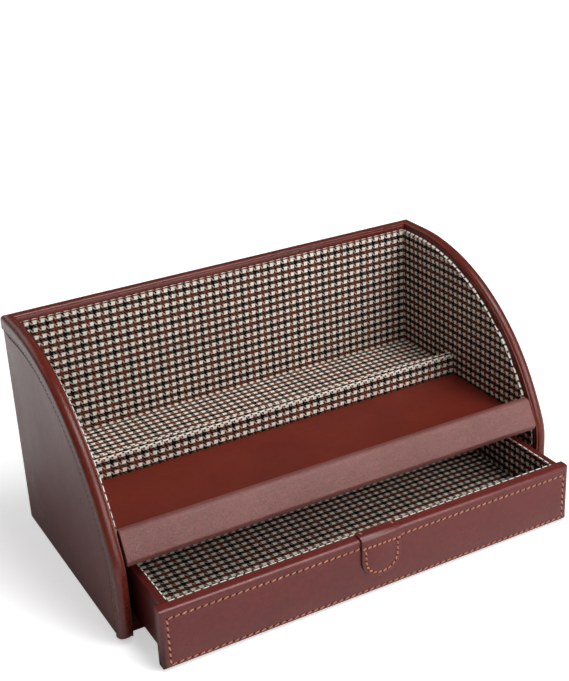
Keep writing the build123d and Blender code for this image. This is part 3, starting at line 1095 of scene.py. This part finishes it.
def sew_side_bands():
    """Stitches along the outer edge of both side bands."""
    for side, sign in (("left", -1), ("right", 1)):
        work = new_work()
        line = rim_line(sign * BAND_THREAD_X, BAND_OUTSIDE - BAND_SEAM, FOOT + 2 * MM)
        sew(line, Vector((sign, 0, 0)), work, BAND_PITCH)
        keep_work(work, "side_band", f"_{side}", "case", BAND_THREAD)


# ---- Dress the CAD nodes that stay ----

def dress(nodes, material):
    """Give CAD nodes a material."""
    for node in nodes:
        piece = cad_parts[node]
        if not piece.material_slots:
            piece.data.materials.append(material)
        for place in piece.material_slots:
            place.material = material


def dress_nodes():
    """Materials of the CAD nodes that show as they are."""
    dress([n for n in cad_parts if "board" in n], BOARD)
    dress(["base_felt"], FELT)
    dress(["shelf_leather"], SHELF_LEATHER)
    dress(["back_cover", "base_front_strip"], SIDE_LEATHER)
    dress(["drawer_side_cover_left", "drawer_side_cover_right", "drawer_back_cover"], DRAWER_LEATHER)


# ---- Studio ----

FLOOR_SIZE = 6.0
FLOOR_GLOW = 0.55              # white added to the floor near the box, where the camera sees it
FLOOR_SHEEN = 0.45             # and away from the box, where a glossy surface mirrors it
GLOW_REACH = (0.15, 1.2)       # distances between which the floor turns to white
SHEEN_REACH = (0.17, 0.34)     # and between which its mirrored white sets in
LAMP_DISTANCE = 1.1
LAMP_AIM = Vector((0, 0, 0.05))
SURROUNDINGS = 0.12            # strength of the world's light

# Camera, fitted to the edges of the case in the photograph and turned slightly, so that the right
# end of the drawer stays in the picture
CAMERA_PLACE = (-0.24986, -0.48104, 0.33685)
CAMERA_YAW, CAMERA_PITCH, CAMERA_ROLL = -0.4841, 0.4284, -0.05196   # pitch is how far it looks down
FOCAL_PIXELS, FRAME_HEIGHT = 1279.5, 681
SENSOR_WIDTH = 36.0


def make_floor():
    """Plain pale floor, which turns to white away from the box."""
    material, tree, shader, place = new_material("studio_floor")
    dust = clouds(tree, place, 3.0, 2.0)
    pale = mix(tree, dust, tinted((246, 246, 246)), tinted((250, 250, 250)))
    path = add_node(tree, "LightPath", {}).outputs
    away = add_node(tree, "VectorMath", {0: place}, operation="LENGTH").outputs["Value"]
    seen = times(tree, path["Is Camera Ray"], ramp(tree, away, *GLOW_REACH, FLOOR_GLOW, 1.0))
    mirrored_seen = times(tree, path["Is Glossy Ray"], ramp(tree, away, *SHEEN_REACH, 0.0, FLOOR_SHEEN))
    plug(tree, shader, {
        "Base Color": pale, "Roughness": 0.9, "Specular IOR Level": 0.1,
        "Emission Color": pale, "Emission Strength": calc(tree, "ADD", seen, mirrored_seen),
    })
    shape = bmesh.new()
    bmesh.ops.create_grid(shape, x_segments=2, y_segments=2, size=FLOOR_SIZE)
    floor_piece = make_object(shape, "studio_floor", [material])


def soft_light(name, direction, size, radiance):
    """Rectangular soft box that faces the object, with its brightness given as a white's."""
    lamp = bpy.data.lights.new(name, "AREA")
    lamp.shape = "RECTANGLE"
    lamp.size, lamp.size_y = size
    lamp.energy = radiance * pi * size[0] * size[1]
    holder = put_in_scene(name, lamp)
    way = Vector(direction).normalized()
    holder.location = LAMP_AIM + way * LAMP_DISTANCE
    holder.rotation_euler = way.to_track_quat("Z", "Y").to_euler()


def make_world():
    """Even white surroundings."""
    world = bpy.data.worlds.new("studio")
    world.use_nodes = True
    tree = world.node_tree
    seen = add_node(tree, "LightPath", {}).outputs["Is Camera Ray"]
    lit = ramp(tree, seen, 0.0, 1.0, SURROUNDINGS, 1.0)
    plug(tree, tree.nodes["Background"], {"Color": (1, 1, 1, 1), "Strength": lit})
    bpy.context.scene.world = world


def make_camera():
    """Camera at the photograph's viewing angle."""
    data = bpy.data.cameras.new("camera")
    data.sensor_width = SENSOR_WIDTH
    data.lens = FOCAL_PIXELS * SENSOR_WIDTH / FRAME_HEIGHT
    data.clip_start, data.clip_end = 0.01, 20.0
    yaw, roll = Matrix.Rotation(CAMERA_YAW, 4, "Z"), Matrix.Rotation(CAMERA_ROLL, 4, "Z")
    tilt = Matrix.Rotation(pi / 2 - CAMERA_PITCH, 4, "X")
    camera = put_in_scene("camera", data)
    camera.matrix_world = Matrix.Translation(CAMERA_PLACE) @ yaw @ tilt @ roll
    bpy.context.scene.camera = camera


# ---- Put it together ----

CLOTH_AND_EDGE = [LINING_CLOTH, RAW_EDGE]

both_hands(make_side_band, "side_band", [CASE_LEATHER], "side_edge_band")
both_hands(make_side_core, "side_core", [BOARD], "side_board")
both_hands(make_side_panel, "side_panel", [SIDE_LEATHER], "side_cover")
both_hands(make_side_lining, "side_cloth", CLOTH_AND_EDGE, "side_lining", side_raw_faces)
make_back_band()
make_front_rail()
cloth_board("back_lining", "case")
make_divider()
make_divider_front()
cushioned_floor("tray_floor_pad", "case", 0.5 * MM)
make_drawer_front()
make_pull_tab()
cloth_board("drawer_front_lining", "drawer", RAW_EDGE, 0.1 * MM)
cloth_board("drawer_back_lining", "drawer", RAW_EDGE, 0.15 * MM)
cloth_board("drawer_side_lining_left", "drawer", RAW_EDGE, 0.15 * MM)
# the right lining's raw edge takes the paler copy with painted light
cloth_board("drawer_side_lining_right", "drawer", RAW_EDGE_PAINTED_LIGHT, 0.25 * MM)
cushioned_floor("drawer_floor_pad", "drawer", 0.3 * MM)
sew_drawer_front()
sew_side_bands()
dress_nodes()

make_floor()
make_world()
soft_light("front_soft_box", (0.35, -0.82, 0.50), (0.8, 0.6), 4.3)
soft_light("top_soft_box", (0.24, -0.3, 0.95), (0.4, 0.6), 8.5)
soft_light("rear_soft_box", (-0.4, 0.78, 0.6), (0.8, 0.45), 1.4)
make_camera()

bpy.context.scene.view_settings.view_transform = "Standard"
